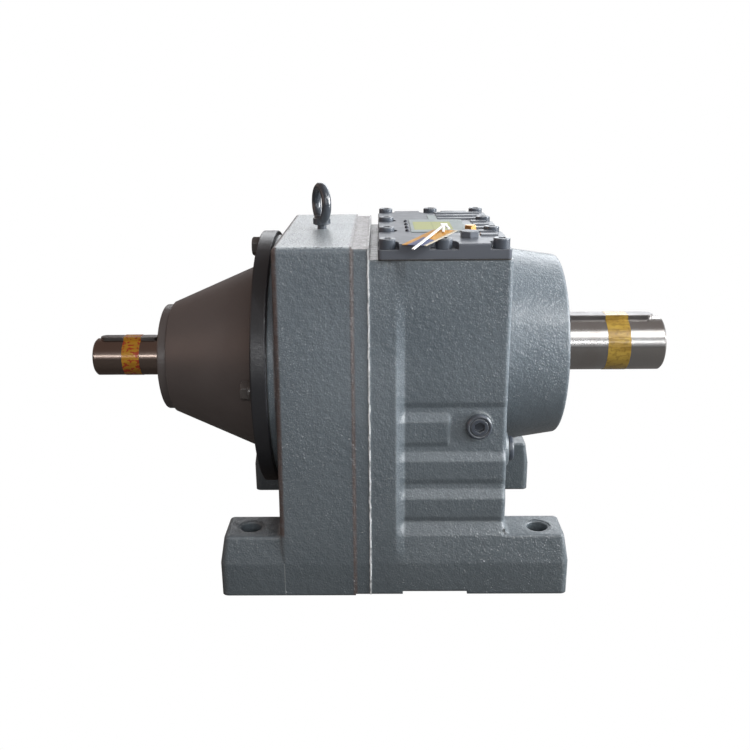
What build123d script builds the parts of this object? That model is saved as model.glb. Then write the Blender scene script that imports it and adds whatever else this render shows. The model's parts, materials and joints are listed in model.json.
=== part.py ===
from build123d import *
import math
import os

# Inline helical gear reducer, foot mounted, three stages, solid input and output shafts.
# Millimetres. +X runs along the shafts towards the output end, +Z is up, and the near side is -Y.
# The origin is the centre of the four foot holes, on the plane that the feet stand on.

# ---------------------------------------------------------------- driving dimensions
foot_pitch_x = 300.0
foot_pitch_y = 250.0
foot_hole_d = 22.0
output_axis_z = 229.0
input_axis_z = 216.0

# gear train: module, pinion teeth, wheel teeth for each stage
stage_1 = (2.0, 17, 53)
stage_2 = (2.5, 19, 55)
stage_3 = (3.5, 17, 57)
pressure_angle = math.radians(20.0)
tooth_thinning = 0.25

# casting
base_half_width = 154.0
top_half_width = 127.0
casing_top_z = 359.8
crease_z = 36.0
side_slope = (base_half_width - top_half_width) / (casing_top_z - crease_z)
front_left_x = -117.2
step_x = -40.0
parting_x = -24.3
rear_right_x = 114.5
rear_top_z = 347.0
step_depth = 2.5
rear_half_width = base_half_width - step_depth
wall = 15.0
web_x0 = -27.0
web_x1 = -8.0
floor_z = 15.0

# feet
foot_top_z = 64.8
foot_root_x = 95.0
foot_end_x = 180.0
foot_top_end_x = 175.3
foot_inner_y = 100.5
foot_lean = 6.0
foot_corner_r = 7.0
foot_top_corner_r = 5.0
foot_edge_r = 2.5
foot_blend_r = 5.0

# output boss on the rear wall
boss_end_x = 180.9
boss_root_r = 109.5
boss_end_r = 99.4
boss_inner_x = 80.0
boss_edge_r = 4.0

# input cover
pad_x = -124.7
gasket_t = 0.6
flange_x0 = -141.5
flange_r = 140.8
pad_inner_r = 112.0
pad_outer_r = 136.0
nose_x = -253.6
nose_r = 59.3
cone_x0 = -243.0
cone_r0 = 62.8
cone_r1 = 106.5
cover_bolt_circle_r = 125.0

# shafts
input_end_x = -336.2
input_d = 42.0
output_end_x = 300.9
output_d = 60.0

# inspection cover on top
lid_x0 = -15.0
lid_x1 = 112.5
lid_half_y = 129.0
lid_gasket_t = 1.0
lid_land_z = 357.0
lid_top_z = 362.7
lid_screw_x = (-6.0, 48.0, 103.0)
lid_screw_outer_y = 120.0
lid_screw_inner_y = 40.0

os.makedirs("parts", exist_ok=True)


# ---------------------------------------------------------------- gear train layout
def centre_distance(stage):
    module, pinion_teeth, wheel_teeth = stage
    return module * (pinion_teeth + wheel_teeth) / 2


# Countershaft B lies straight below the output shaft, and countershaft A lies on the far side,
# where the circles of the first and second centre distances cross.
input_axis = (0.0, input_axis_z)
output_axis = (0.0, output_axis_z)
shaft_b_axis = (0.0, output_axis_z - centre_distance(stage_3))
drop = input_axis_z - shaft_b_axis[1]
along = (centre_distance(stage_1) ** 2 - centre_distance(stage_2) ** 2 + drop**2) / (2 * drop)
aside = math.sqrt(centre_distance(stage_1) ** 2 - along**2)
shaft_a_axis = (aside, input_axis_z - along)


def direction(axis_from, axis_to):
    """Angle in the YZ plane of the line from one shaft axis to another."""
    return math.atan2(axis_to[1] - axis_from[1], axis_to[0] - axis_from[0])


# ---------------------------------------------------------------- small helpers
def turned(points, axis=(0.0, 0.0)):
    """Solid of revolution about a line along X through (y, z), from (x, radius) points."""
    outline = Polyline(*[(x, 0, r) for x, r in points], close=True)
    return Pos(0, axis[0], axis[1]) * revolve(make_face(outline), Axis.X)


def rod(x0, x1, radius, axis=(0.0, 0.0)):
    return Pos((x0 + x1) / 2, axis[0], axis[1]) * Rot(0, 90, 0) * Cylinder(radius, x1 - x0)


def ring(x0, x1, inner_r, outer_r, axis=(0.0, 0.0)):
    return rod(x0, x1, outer_r, axis) - rod(x0, x1, inner_r, axis)


def block(x0, x1, y0, y1, z0, z1):
    return Pos((x0 + x1) / 2, (y0 + y1) / 2, (z0 + z1) / 2) * Box(x1 - x0, y1 - y0, z1 - z0)


def section(points, x):
    """Face in the plane X = x, from (y, z) points."""
    return make_face(Polyline(*[(x, y, z) for y, z in points], close=True))


def prism(points, x0, x1):
    return extrude(section(points, x0), x1 - x0, dir=(1, 0, 0))


def mirrored(points):
    """Closed outline from the far-side half, bottom to top, and its mirror image."""
    return points + [(-y, z) for y, z in reversed(points)]


def side_y(z, inset=0.0):
    """Half width of the drafted side at height z."""
    if z <= crease_z:
        return base_half_width - inset
    return base_half_width - (z - crease_z) * side_slope - inset


def drafted(top_z, inset=0.0):
    heights = (0, crease_z, top_z)
    return mirrored([(side_y(z, inset), z) for z in heights])


def group(solids):
    return Compound(children=list(solids))


def save(name, shape):
    shape.label = name
    export_step(shape, f"parts/{name}.step")


# ---------------------------------------------------------------- gears
def involute(angle):
    return math.tan(angle) - angle


def gear(stage, teeth, x0, x1, tooth_angle):
    """Spur gear about X = axis 0, with a tooth centre at tooth_angle in the YZ plane."""
    module = stage[0]
    pitch_r = module * teeth / 2
    base_r = pitch_r * math.cos(pressure_angle)
    tip_r = pitch_r + module
    root_r = pitch_r - 1.25 * module
    start_r = max(base_r, root_r + 0.1 * module)
    half_tooth = (math.pi * module / 2 - tooth_thinning) / (2 * pitch_r) + involute(pressure_angle)
    radii = [start_r + (tip_r - start_r) * k / 4 for k in range(5)]
    flank = [(r, half_tooth - involute(math.acos(base_r / r))) for r in radii]

    def at(radius, angle):
        return (x0, radius * math.cos(angle), radius * math.sin(angle))

    pitch = 2 * math.pi / teeth
    edges = []
    for tooth in range(teeth):
        middle = tooth_angle + tooth * pitch
        left = [at(r, middle - a) for r, a in flank]
        right = [at(r, middle + a) for r, a in reversed(flank)]
        root_a = at(root_r, middle - flank[0][1])
        root_b = at(root_r, middle + flank[0][1])
        root_next = at(root_r, middle + pitch - flank[0][1])
        edges.append(Line(root_a, left[0]))
        edges.append(Spline(*left))
        edges.append(Line(left[-1], right[0]))
        edges.append(Spline(*right))
        edges.append(Line(right[-1], root_b))
        edges.append(Line(root_b, root_next))
    return extrude(make_face(Wire(edges)), x1 - x0, dir=(1, 0, 0))


def placed(shape, axis):
    return Pos(0, axis[0], axis[1]) * shape


# ---------------------------------------------------------------- bearings
def bearing(name, x0, bore, outside, width, balls, axis):
    """Deep groove ball bearing as outer ring, inner ring, and balls in their cage."""
    x1 = x0 + width
    middle = (x0 + x1) / 2
    pitch_r = (bore + outside) / 4
    ball_r = 0.15 * (outside - bore)
    race_gap = 0.2
    land = 0.45 * ball_r
    groove = Torus(pitch_r, ball_r + race_gap)
    groove = Pos(middle, axis[0], axis[1]) * Rot(0, 90, 0) * groove
    outer = ring(x0, x1, pitch_r + land, outside / 2, axis) - groove
    inner = ring(x0, x1, bore / 2, pitch_r - land, axis) - groove
    cage_half = 1.5
    cage = ring(middle - cage_half, middle + cage_half, pitch_r - 0.6 * land, pitch_r + 0.6 * land, axis)
    spheres = []
    for k in range(balls):
        turn = 2 * math.pi * k / balls
        place = Pos(middle, axis[0] + pitch_r * math.cos(turn), axis[1] + pitch_r * math.sin(turn))
        cage -= place * Sphere(ball_r + 0.1)
        spheres.append(place * Sphere(ball_r))
    save(f"{name}_outer_ring", outer)
    save(f"{name}_inner_ring", inner)
    save(f"{name}_balls_and_cage", group(list(cage.solids()) + spheres))


# ---------------------------------------------------------------- housing
upright_y = 128.0
groove_z = (197.6, 156.4, 117.2)
skirt_groove_z = 76.8
step_gain = 3.7
undercut = 1.8
undercut_h = 6.0
lap_drop = 5.0
tread_drop = 13.5
ramp_x0 = 2.0
ramp_x1 = 11.0
bulge_x1 = 58.8
bulge_bevel = 4.0
bulge_root = 8.0
wall_corner_r = 5.0
front_top_r = 6.0
front_left_r = 5.0
ridge_h = 1.0
ridge_half = 0.6


def groove(y, z):
    """Concave line in the side wall: the wall turns in above it, and the next tread starts below it."""
    return [(y, z + undercut_h), (y - undercut, z), (y - 0.6 * undercut, z - lap_drop)]


def upper_groove():
    return groove(upright_y, groove_z[0])


def bulge_profile():
    """Tread and riser that stand out between the first two grooves, on the left part of the wall only."""
    y = upright_y + step_gain
    return [(y, groove_z[0] - tread_drop)] + groove(y, groove_z[1])


def lower_steps():
    points = []
    y = upright_y + step_gain
    for z in groove_z[2:] + (skirt_groove_z,):
        y += step_gain
        points.append((y, z + groove_z[1] - groove_z[2] - tread_drop))
        points += groove(y, z)
    points.pop()
    skirt = [(rear_half_width - foot_lean, foot_top_z), (rear_half_width, crease_z), (rear_half_width, 0)]
    return points + skirt


def plain_side():
    """Rear side wall from top to bottom: upright, then stepping out along the draft of the casting."""
    return [(upright_y, rear_top_z)] + upper_groove() + bulge_profile()[-1:] + lower_steps()


def stepped_side():
    return [(upright_y, rear_top_z)] + upper_groove() + bulge_profile() + lower_steps()


def panel_side():
    """The drafted panel next to the wall, at the same heights as the stepped side."""
    return [(side_y(z, step_depth), z) for y, z in stepped_side()]


def bulge(side):
    """The raised step on the left part of the wall, bevelled down to the wall at its right end."""
    profile = upper_groove()[-1:] + bulge_profile()
    inner = upright_y - bulge_root
    outline = [(inner, profile[0][1])] + profile + [(inner, profile[-1][1])]
    full = [(side * y, z) for y, z in outline]
    flat = [(side * min(y, upright_y - undercut), z) for y, z in outline]
    bevel_x = bulge_x1 - bulge_bevel
    return prism(full, ramp_x1, bevel_x) + loft([section(full, bevel_x), section(flat, bulge_x1)], ruled=True)


def front_block():
    body = prism(drafted(casing_top_z), front_left_x, step_x)
    body = fillet(body.edges().filter_by(Axis.X).group_by(Axis.Z)[-1], front_top_r)
    left_edges = body.faces().sort_by(Axis.X)[0].edges().filter_by(lambda e: e.center().Z > crease_z)
    body = fillet(left_edges, front_left_r)
    band = prism(drafted(casing_top_z - step_depth, step_depth), step_x, parting_x)
    ridge_outline = drafted(casing_top_z - step_depth + ridge_h, step_depth - ridge_h)
    ridge = prism(ridge_outline, parting_x - ridge_half, parting_x + ridge_half)
    return body + band + ridge


def rear_block():
    panel = prism(mirrored(panel_side()[::-1]), parting_x, ramp_x0)
    ramp_start = section(mirrored(panel_side()[::-1]), ramp_x0)
    ramp_stop = section(mirrored(stepped_side()[::-1]), ramp_x1)
    ramp = loft([ramp_start, ramp_stop], ruled=True)
    wall_body = prism(mirrored(plain_side()[::-1]), ramp_x1, rear_right_x)
    corner = wall_body.faces().sort_by(Axis.X)[-1].edges()
    corner = corner.filter_by(lambda e: abs(e.center().Y) > 0.9 * upright_y and e.center().Z > foot_top_z)
    wall_body = fillet(corner, wall_corner_r)
    return panel + ramp + wall_body + bulge(-1) + bulge(1)


def foot(side_x, side_y_sign):
    """One foot: upright below the crease, leaning in above it, with rounded end corners."""
    half_width = rear_half_width if side_x > 0 else base_half_width

    def plan(z, end_x, outer, corner):
        outline = Rectangle(end_x - foot_root_x, outer - foot_inner_y)
        face = Pos((foot_root_x + end_x) / 2, (outer + foot_inner_y) / 2, z) * outline
        return fillet(face.vertices().group_by(Axis.X)[-1], corner)

    low = plan(0, foot_end_x, half_width, foot_corner_r)
    mid = plan(crease_z, foot_end_x, half_width, foot_corner_r)
    top = plan(foot_top_z, foot_top_end_x, half_width - foot_lean, foot_top_corner_r)
    solid = extrude(low, crease_z, dir=(0, 0, 1)) + loft([mid, top], ruled=True)
    solid = fillet(solid.faces().sort_by(Axis.Z)[-1].edges(), foot_edge_r)
    if side_x < 0:
        solid = mirror(solid, Plane.YZ)
    if side_y_sign < 0:
        solid = mirror(solid, Plane.XZ)
    return solid


def foot_blend(wall_x, out, half_width, side):
    """Concave blend where the end of the casting meets the top of a foot."""
    r = foot_blend_r
    outer = half_width - foot_lean - foot_edge_r
    centre_x = wall_x + out * r
    x0, x1 = sorted((wall_x - out, centre_x))
    y0, y1 = sorted((side * foot_inner_y, side * outer))
    filler = block(x0, x1, y0, y1, foot_top_z - 1, foot_top_z + r)
    hollow = Rot(90, 0, 0) * Cylinder(r, 2 * base_half_width)
    return filler - Pos(centre_x, 0, foot_top_z + r) * hollow


def output_boss():
    shell = turned([(boss_inner_x, 0), (boss_inner_x, boss_root_r), (rear_right_x, boss_root_r),
                    (boss_end_x, boss_end_r), (boss_end_x, 0)], output_axis)
    return fillet(shell.edges().sort_by(Axis.X)[-1], boss_edge_r)


opening_r = 72.5
opening_shift = 39.0
seat_a_r = 31.0
seat_b_front_r = 31.0
seat_b_rear_r = 40.0
seat_b_front_x = -101.0
bearing_b_front = (30.0, 62.0, 16.0)
bearing_b_front_x = -100.0
seat_out_left_r = 42.5
seat_out_right_r = 60.0
output_bearing_x = 143.0
output_seal_r = 50.0
output_seal_depth = 13.0
seat_a_end_x = -95.0
web_passage_r = 38.0
right_plug = (-98.0, 141.6)


def front_opening_axis():
    """The input opening is shifted away from countershaft A, so that its bearing seat keeps a wall."""
    angle = direction(input_axis, shaft_a_axis)
    return (input_axis[0] - opening_shift * math.cos(angle), input_axis[1] - opening_shift * math.sin(angle))


front_wall = 18.0
front_chamber_top_z = 346.0
rear_chamber_top_z = 335.0
chamber_half_y = 113.0
wall_end_x = -80.0
boss_bore = ((90.0, 92.0), (132.0, 88.0))
right_plug_boss = (20.0, 5.0)
right_plug_boss_bevel = 3.0
relief = (9.0, 76.0, 3.2)
lid_opening = (2.0, 94.0, 108.0)


def rear_opening(z0, z1):
    """Opening under the inspection cover, wide enough for the output wheel."""
    x0, x1, half_y = lid_opening
    return block(x0, x1, -half_y, half_y, z0, z1)


def front_bores():
    """Input opening and the seats of both countershafts in the front wall."""
    bores = rod(pad_x - 8, wall_end_x, opening_r, front_opening_axis())
    bores += rod(pad_x - 8, wall_end_x, seat_a_r, shaft_a_axis)
    bores += rod(seat_b_front_x, wall_end_x, seat_b_front_r, shaft_b_axis)
    return bores


def web_bores():
    x0 = web_x0 - 1
    x1 = web_x1 + 1
    bores = rod(x0, x1, seat_a_r, shaft_a_axis)
    bores += rod(x0, x1, seat_out_left_r, output_axis)
    return bores + rod(x0, x1, web_passage_r, shaft_b_axis)


def rear_bores():
    seal_x = boss_end_x - output_seal_depth
    bores = rod(boss_inner_x, boss_bore[1][0], seat_b_rear_r, shaft_b_axis)
    bores += rod(boss_bore[1][0] - 1, seal_x, seat_out_right_r, output_axis)
    bores += rod(seal_x - 1, boss_end_x + 1, output_seal_r, output_axis)
    (x0, r0), (x1, r1) = boss_bore
    return bores + turned([(x0, 0), (x0, r0), (x1, r1), (x1, 0)], output_axis)


def end_plug_boss():
    radius, height = right_plug_boss
    boss = rod(rear_right_x - 1, rear_right_x + height, radius, right_plug)
    return chamfer(boss.edges().sort_by(Axis.X)[-1], right_plug_boss_bevel)


def level_plug_seat(out_from, out_to):
    """Disc around the level plug, between two distances out from its sealing face."""
    middle_y = level_plug_face_y - (out_from + out_to) / 2
    disc = Rot(90, 0, 0) * Cylinder(level_seat_r, out_to - out_from)
    return Pos(level_plug[0], middle_y, level_plug[1]) * disc


def housing():
    body = front_block() + rear_block() + output_boss()
    for side in (-1, 1):
        body += foot(-1, side) + foot(1, side)
        body += foot_blend(front_left_x, -1, base_half_width, side)
        body += foot_blend(rear_right_x, 1, rear_half_width, side)
    body += ring(pad_x, front_left_x + 1, pad_inner_r, pad_outer_r, input_axis)
    body += end_plug_boss()
    body += level_plug_seat(-8, 0)
    body -= level_plug_seat(0, 8)
    half_y = chamber_half_y
    body -= block(front_left_x + front_wall, web_x0, -half_y, half_y, floor_z, front_chamber_top_z)
    body -= block(web_x1, rear_right_x - wall, -half_y, half_y, floor_z, rear_chamber_top_z)
    body -= rear_opening(rear_chamber_top_z - wall, rear_top_z + wall)
    body += rod(front_left_x + 1, seat_a_end_x, seat_a_r + 6, shaft_a_axis)
    body += rod(front_left_x + 1, bearing_b_front_x + bearing_b_front[2], seat_b_front_r + 4, shaft_b_axis)
    body += rod(bearing_b_rear_x, rear_right_x - 1, seat_b_rear_r + 6, shaft_b_axis)
    body -= front_bores() + web_bores()
    body -= rear_bores()
    body -= foot_holes()
    body -= tapped_holes()
    return body - block(relief[0], relief[1], -160, 160, -1, relief[2])


def foot_holes():
    cutter = Part()
    for x in (-foot_pitch_x / 2, foot_pitch_x / 2):
        for y in (-foot_pitch_y / 2, foot_pitch_y / 2):
            cutter += Pos(x, y, foot_top_z / 2) * Cylinder(foot_hole_d / 2, foot_top_z + 2)
            cutter += Pos(x, y, foot_top_z) * Cylinder(foot_hole_d / 2 + 3, 1.2)
    return cutter


eye_x = -76.0
eye_thread_r = 5.0
level_plug = (85.9, 178.8)
level_plug_face_y = -(upright_y + 0.3)
level_seat_r = 14.5
plug_thread_r = 8.0
plug_hole_depth = 16.0


def lid_screw_places():
    """Screw centres of the inspection cover: four along each end and one in the middle of each side."""
    places = []
    for x in (lid_screw_x[0], lid_screw_x[2]):
        for y in (-lid_screw_outer_y, -lid_screw_inner_y, lid_screw_inner_y, lid_screw_outer_y):
            places.append((x, y))
    for y in (-lid_screw_outer_y, lid_screw_outer_y):
        places.append((lid_screw_x[1], y))
    return places


def cover_bolt_places():
    places = []
    for quarter in range(4):
        angle = quarter * math.pi / 2
        y = input_axis[0] + cover_bolt_circle_r * math.cos(angle)
        z = input_axis[1] + cover_bolt_circle_r * math.sin(angle)
        places.append((y, z))
    return places


lid_screw_r = 5.0
cover_bolt_r = 6.0
cover_thread_x = (-130.0, -101.5)
cover_bolt_end_x = -103.0
tapped_depth = 18.0


def tapped_holes():
    cutter = Pos(eye_x, 0, casing_top_z) * Cylinder(eye_thread_r, 2 * tapped_depth)
    for x, y in lid_screw_places():
        cutter += Pos(x, y, rear_top_z) * Cylinder(lid_screw_r, 2 * tapped_depth)
    for place in cover_bolt_places():
        cutter += rod(*cover_thread_x, cover_bolt_r, place)
    plug_hole = Rot(90, 0, 0) * Cylinder(plug_thread_r, 2 * plug_hole_depth)
    cutter += Pos(level_plug[0], level_plug_face_y, level_plug[1]) * plug_hole
    end_hole_x0 = rear_right_x + right_plug_boss[1] - plug_hole_depth
    cutter += rod(end_hole_x0, rear_right_x + right_plug_boss[1] + 1, plug_thread_r, right_plug)
    return cutter


# ---------------------------------------------------------------- inspection cover and what sits on it
def lid_outline(z0, z1):
    plate = block(lid_x0, lid_x1, -lid_half_y, lid_half_y, z0, z1)
    return fillet(plate.edges().filter_by(Axis.Z), 4)


lid_z0 = rear_top_z + lid_gasket_t
screw_pocket_r = 11.0
wide_pocket_r = 13.5
breather_place = (80.0, -50.5)
breather_spec = (4.0, 11.0, 6.8, 12.0)
vent_place = (75.5, -86.5)
vent_spec = (6.0, 17.0, 6.2, 12.0)
cap_screw_head_r = 8.0
cap_screw_head_h = 10.0
lid_screw_length = 24.0


def lid_gasket():
    gasket = lid_outline(rear_top_z, lid_z0) - rear_opening(rear_top_z - 1, lid_z0 + 1)
    for x, y in lid_screw_places():
        gasket -= Pos(x, y, rear_top_z) * Cylinder(lid_screw_r, 10)
    return gasket


def screw_pocket(x, y):
    """Scallop in the raised plateau around a screw, open to the nearest edge."""
    height = lid_top_z - lid_land_z + 2
    half = wide_pocket_r if x == lid_screw_x[1] else screw_pocket_r
    cutter = Pos(x, y, lid_land_z + height / 2) * Cylinder(half, height)
    if abs(y) > lid_screw_inner_y:
        edge_y = math.copysign(lid_half_y + 5, y)
        cutter += block(x - half, x + half, min(y, edge_y), max(y, edge_y), lid_land_z, lid_land_z + height)
    if x != lid_screw_x[1]:
        edge_x = lid_x0 - 5 if x < lid_screw_x[1] else lid_x1 + 5
        cutter += block(min(x, edge_x), max(x, edge_x), y - screw_pocket_r, y + screw_pocket_r,
                        lid_land_z, lid_land_z + height)
    return cutter


rib_count = 8
rib_pitch = 25.2
rib_y0 = -75.5
rib_half = 5.5
rib_h = 1.5
rib_short_x = 87.5
rib_long_x = 52.0
rib_long_from_y = 45.0
rib_end_x = 105.0
lid_underside = (8.0, 88.0, 100.0, 4.0)


def inspection_cover():
    plate = lid_outline(lid_z0, lid_top_z)
    top = plate.faces().sort_by(Axis.Z)[-1]
    plate = fillet(top.edges(), 1.5)
    for k in range(rib_count):
        y = rib_y0 + k * rib_pitch
        x0 = rib_short_x if y < rib_long_from_y else rib_long_x
        rib = block(x0, rib_end_x, y - rib_half, y + rib_half, lid_top_z - 1, lid_top_z + rib_h)
        plate += fillet(rib.edges().group_by(Axis.Z)[-1], 0.8)
    for x, y in lid_screw_places():
        plate -= screw_pocket(x, y)
        plate -= Pos(x, y, lid_z0) * Cylinder(lid_screw_r + 0.5, 40)
    x0, x1, half_y, depth = lid_underside
    plate -= block(x0, x1, -half_y, half_y, lid_z0 - 1, lid_z0 + depth)
    plate -= Pos(*breather_place, lid_z0) * Cylinder(breather_spec[0], 40)
    plate -= Pos(*vent_place, lid_z0) * Cylinder(vent_spec[0], 40)
    return plate


def cap_screw(x, y):
    """Socket head cap screw of the cover, standing upright with its head on the screw land."""
    head_top = lid_land_z + cap_screw_head_h
    head = Pos(x, y, (lid_land_z + head_top) / 2) * Cylinder(cap_screw_head_r, cap_screw_head_h)
    head = chamfer(head.edges().group_by(Axis.Z)[-1], 0.8)
    shank = Pos(x, y, lid_land_z - lid_screw_length / 2) * Cylinder(lid_screw_r, lid_screw_length)
    socket_size = 0.55 * cap_screw_head_r
    socket = extrude(Pos(x, y, head_top) * RegularPolygon(socket_size, 6), -socket_size)
    return head + shank - socket


def lid_screws():
    return group([cap_screw(x, y) for x, y in lid_screw_places()])


def hex_plug_upright(place, spec):
    """Hexagon head plug standing on the cover, with one corner towards the near side."""
    thread_r, across, head_h, depth = spec
    corner_r = across / math.sqrt(3)
    x, y = place
    head = extrude(Pos(x, y, lid_top_z) * Rot(0, 0, 30) * RegularPolygon(corner_r, 6), head_h)
    dome = Pos(x, y, lid_top_z + head_h / 2) * Cylinder(corner_r, head_h)
    dome = chamfer(dome.edges().group_by(Axis.Z)[-1], 1.2)
    return (head & dome) + Pos(x, y, lid_top_z - depth / 2) * Cylinder(thread_r, depth)


plate_x0 = 19.5
plate_x1 = 78.0
plate_y0 = -55.0
plate_y1 = 41.0
plate_clip = 11.0
plate_t = 0.8
plate_tab = (42.0, 52.0, 80.0)
pin_x = 15.5
pin_y = (-44.0, -20.0, 4.0, 28.0)
pin_r = 2.2


def name_plate():
    """Blank data plate, clipped next to the breather, with a narrow tab on its far edge."""
    tab_x0, tab_x1, tab_y = plate_tab
    clipped = [(plate_x1 - plate_clip, plate_y0), (plate_x1 - 3, plate_y0 + plate_clip),
               (plate_x1, plate_y0 + 3 * plate_clip)]
    tab = [(tab_x1, plate_y1), (tab_x1, tab_y), (tab_x0, tab_y), (tab_x0, plate_y1)]
    corners = [(plate_x0, plate_y0)] + clipped + [(plate_x1, plate_y1)] + tab + [(plate_x0, plate_y1)]
    return extrude(Pos(0, 0, lid_top_z) * make_face(Polyline(*corners, close=True)), plate_t)


def name_plate_pins():
    pins = []
    for y in pin_y:
        dome = Pos(pin_x, y, lid_top_z) * Sphere(pin_r)
        pins.append(dome & block(pin_x - 5, pin_x + 5, y - 5, y + 5, lid_top_z, lid_top_z + 5))
    return group(pins)


tag_t = 0.6
tag_front_left = Vector(7.7, -135.9, 362.9)
tag_front_right = Vector(30.2, -142.5, 362.9)
tag_back_right = Vector(61.2, -112.0, 372.2)


def paper_tag():
    """Card tag lying over the near edge of the cover, with one long side up on a screw head."""
    across = tag_front_right - tag_front_left
    along = tag_back_right - tag_front_right
    corners = [tag_front_left, tag_front_right, tag_back_right, tag_front_left + along]
    card = make_face(Polyline(*corners, close=True))
    return extrude(card, tag_t, dir=tuple(across.cross(along).normalized()))


def strip(start, stop, width, thickness):
    """Flat strap between two points, its width kept level."""
    run = stop - start
    level = Vector(0, 0, 1).cross(run)
    plane = Plane(origin=(start + stop) * 0.5, x_dir=tuple(run), z_dir=tuple(run.cross(level)))
    return plane * Box(run.length, width, thickness)


tie_start = Vector(17.2, -154.0, 361.9)
tie_head = Vector(49.1, -101.0, 376.4)
tie_tail = Vector(47.6, -116.6, 372.2)
tie_second_tail = Vector(53.6, -110.6, 373.9)


strap_width = 2.7
strap_t = 1.0
tail_width = 2.2


def tag_tie():
    """Cable tie of the tag: a strap across the card, its locking head, and two short ends."""
    tie = strip(tie_start, tie_head, strap_width, strap_t)
    tie += Pos(tie_head.X, tie_head.Y, tie_head.Z - 0.4) * Box(6.5, 4.6, 3.4)
    tie += strip(tie_head, tie_tail, tail_width, strap_t)
    return tie + strip(tie_head + Vector(2, 0, 0), tie_second_tail, tail_width, strap_t)


eye_outer_d = 45.0
eye_inner_d = 25.0
eye_turn = 22.0


def eye_bolt():
    """Lifting eye bolt, screwed in with a few millimetres of its thread showing under the collar."""
    collar_z = casing_top_z + 4.6
    bar_r = (eye_outer_d - eye_inner_d) / 4
    ring_r = (eye_outer_d + eye_inner_d) / 4
    ring_z = collar_z + eye_outer_d / 2
    eye = Pos(0, 0, ring_z) * Rot(0, 90, 0) * Torus(ring_r, bar_r)
    collar = Pos(0, 0, collar_z + 3.5) * Cylinder(9.5, 7)
    collar = chamfer(collar.edges().group_by(Axis.Z)[0], 1.0)
    collar += Pos(0, 0, collar_z + 7.5) * Cone(9.5, 6.5, 5.0)
    collar -= Pos(0, 0, ring_z) * Rot(0, 90, 0) * Cylinder(eye_inner_d / 2, 40)
    shank_end = casing_top_z - 16
    shank = Pos(0, 0, (collar_z + shank_end) / 2) * Cylinder(eye_thread_r, collar_z - shank_end)
    return Pos(eye_x, 0, 0) * Rot(0, 0, eye_turn) * (eye + collar + shank)


# ---------------------------------------------------------------- plugs and caps of the housing
def socket_plug(face, axis_out):
    """Screw plug with a flanged head and a hexagon socket, as (plug, sealing washer)."""
    head_r, head_h, washer_t, depth = 13.0, 4.5, 1.5, 11.0
    washer = Pos(0, 0, washer_t / 2) * (Cylinder(head_r - 0.5, washer_t) - Cylinder(plug_thread_r, washer_t))
    head = Pos(0, 0, washer_t + head_h / 2) * Cylinder(head_r, head_h)
    head = chamfer(head.edges().group_by(Axis.Z)[-1], 1.3)
    rim = Pos(0, 0, washer_t + head_h) * (Cylinder(head_r - 2.8, 1.6) - Cylinder(head_r - 4.2, 1.6))
    shank = Pos(0, 0, (washer_t - depth) / 2) * Cylinder(plug_thread_r, depth + washer_t)
    socket = extrude(Pos(0, 0, washer_t + head_h) * RegularPolygon(5.8, 6), -5.5)
    place = Plane(origin=face, z_dir=axis_out)
    return place * (head + shank - rim - socket), place * washer


def closing_caps():
    """Pressed caps that close the countershaft bores."""
    caps = [
        rod(front_left_x, front_left_x + 2.5, seat_a_r, shaft_a_axis),
        rod(rear_right_x - 1.3, rear_right_x + 2.0, seat_b_rear_r, shaft_b_axis),
    ]
    return group(caps)


# ---------------------------------------------------------------- input cover
cover_face_x = pad_x - gasket_t
nose_bearing_x = -240.0
rear_bearing_x = -152.0
input_bearing = (45.0, 100.0, 25.0)
input_seal_r = 36.0
spigot_r = pad_inner_r - 0.2
spigot_bore_r = 98.0
shoulder_r = 44.0
cover_wall = 5.0
hollow_end_x = -205.0
hollow_end_r = 61.0
hollow_start_r = 84.0


def input_cover():
    """Conical bearing carrier with bolting flange, spigot, two bearing seats and a seal bore."""
    bore_r = input_bearing[1] / 2
    width = input_bearing[2]
    outline = [
        (nose_x, input_seal_r), (nose_x, nose_r), (cone_x0, nose_r), (cone_x0, cone_r0),
        (flange_x0, cone_r1), (flange_x0, flange_r), (cover_face_x, flange_r), (cover_face_x, spigot_r),
        (front_left_x, spigot_r), (front_left_x, spigot_bore_r), (rear_bearing_x + width, spigot_bore_r),
        (rear_bearing_x + width, bore_r), (rear_bearing_x, bore_r), (rear_bearing_x, shoulder_r),
        (rear_bearing_x - cover_wall, shoulder_r), (rear_bearing_x - cover_wall, hollow_start_r),
        (hollow_end_x, hollow_end_r), (hollow_end_x, shoulder_r), (nose_bearing_x + width, shoulder_r),
        (nose_bearing_x + width, bore_r), (nose_bearing_x, bore_r), (nose_bearing_x, input_seal_r),
    ]
    cover = turned(outline, input_axis)
    rims = cover.edges().filter_by(GeomType.CIRCLE)
    outer_rims = rims.filter_by(lambda e: abs(e.radius - flange_r) < 0.1 or abs(e.radius - nose_r) < 0.1)
    cover = fillet(outer_rims, 1.5)
    for place in cover_bolt_places():
        cover -= rod(flange_x0 - 1, cover_face_x + 1, cover_bolt_r + 0.5, place)
    return cover


def input_cover_gasket():
    gasket = ring(cover_face_x, pad_x, pad_inner_r, pad_outer_r, input_axis)
    for place in cover_bolt_places():
        gasket -= rod(cover_face_x - 1, pad_x + 1, cover_bolt_r + 0.5, place)
    return gasket


bolt_across = 18.0
bolt_head_h = 8.0
bolt_head_bevel = 1.4
bolt_washer_t = 3.0
bolt_washer_r = 10.5


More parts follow.
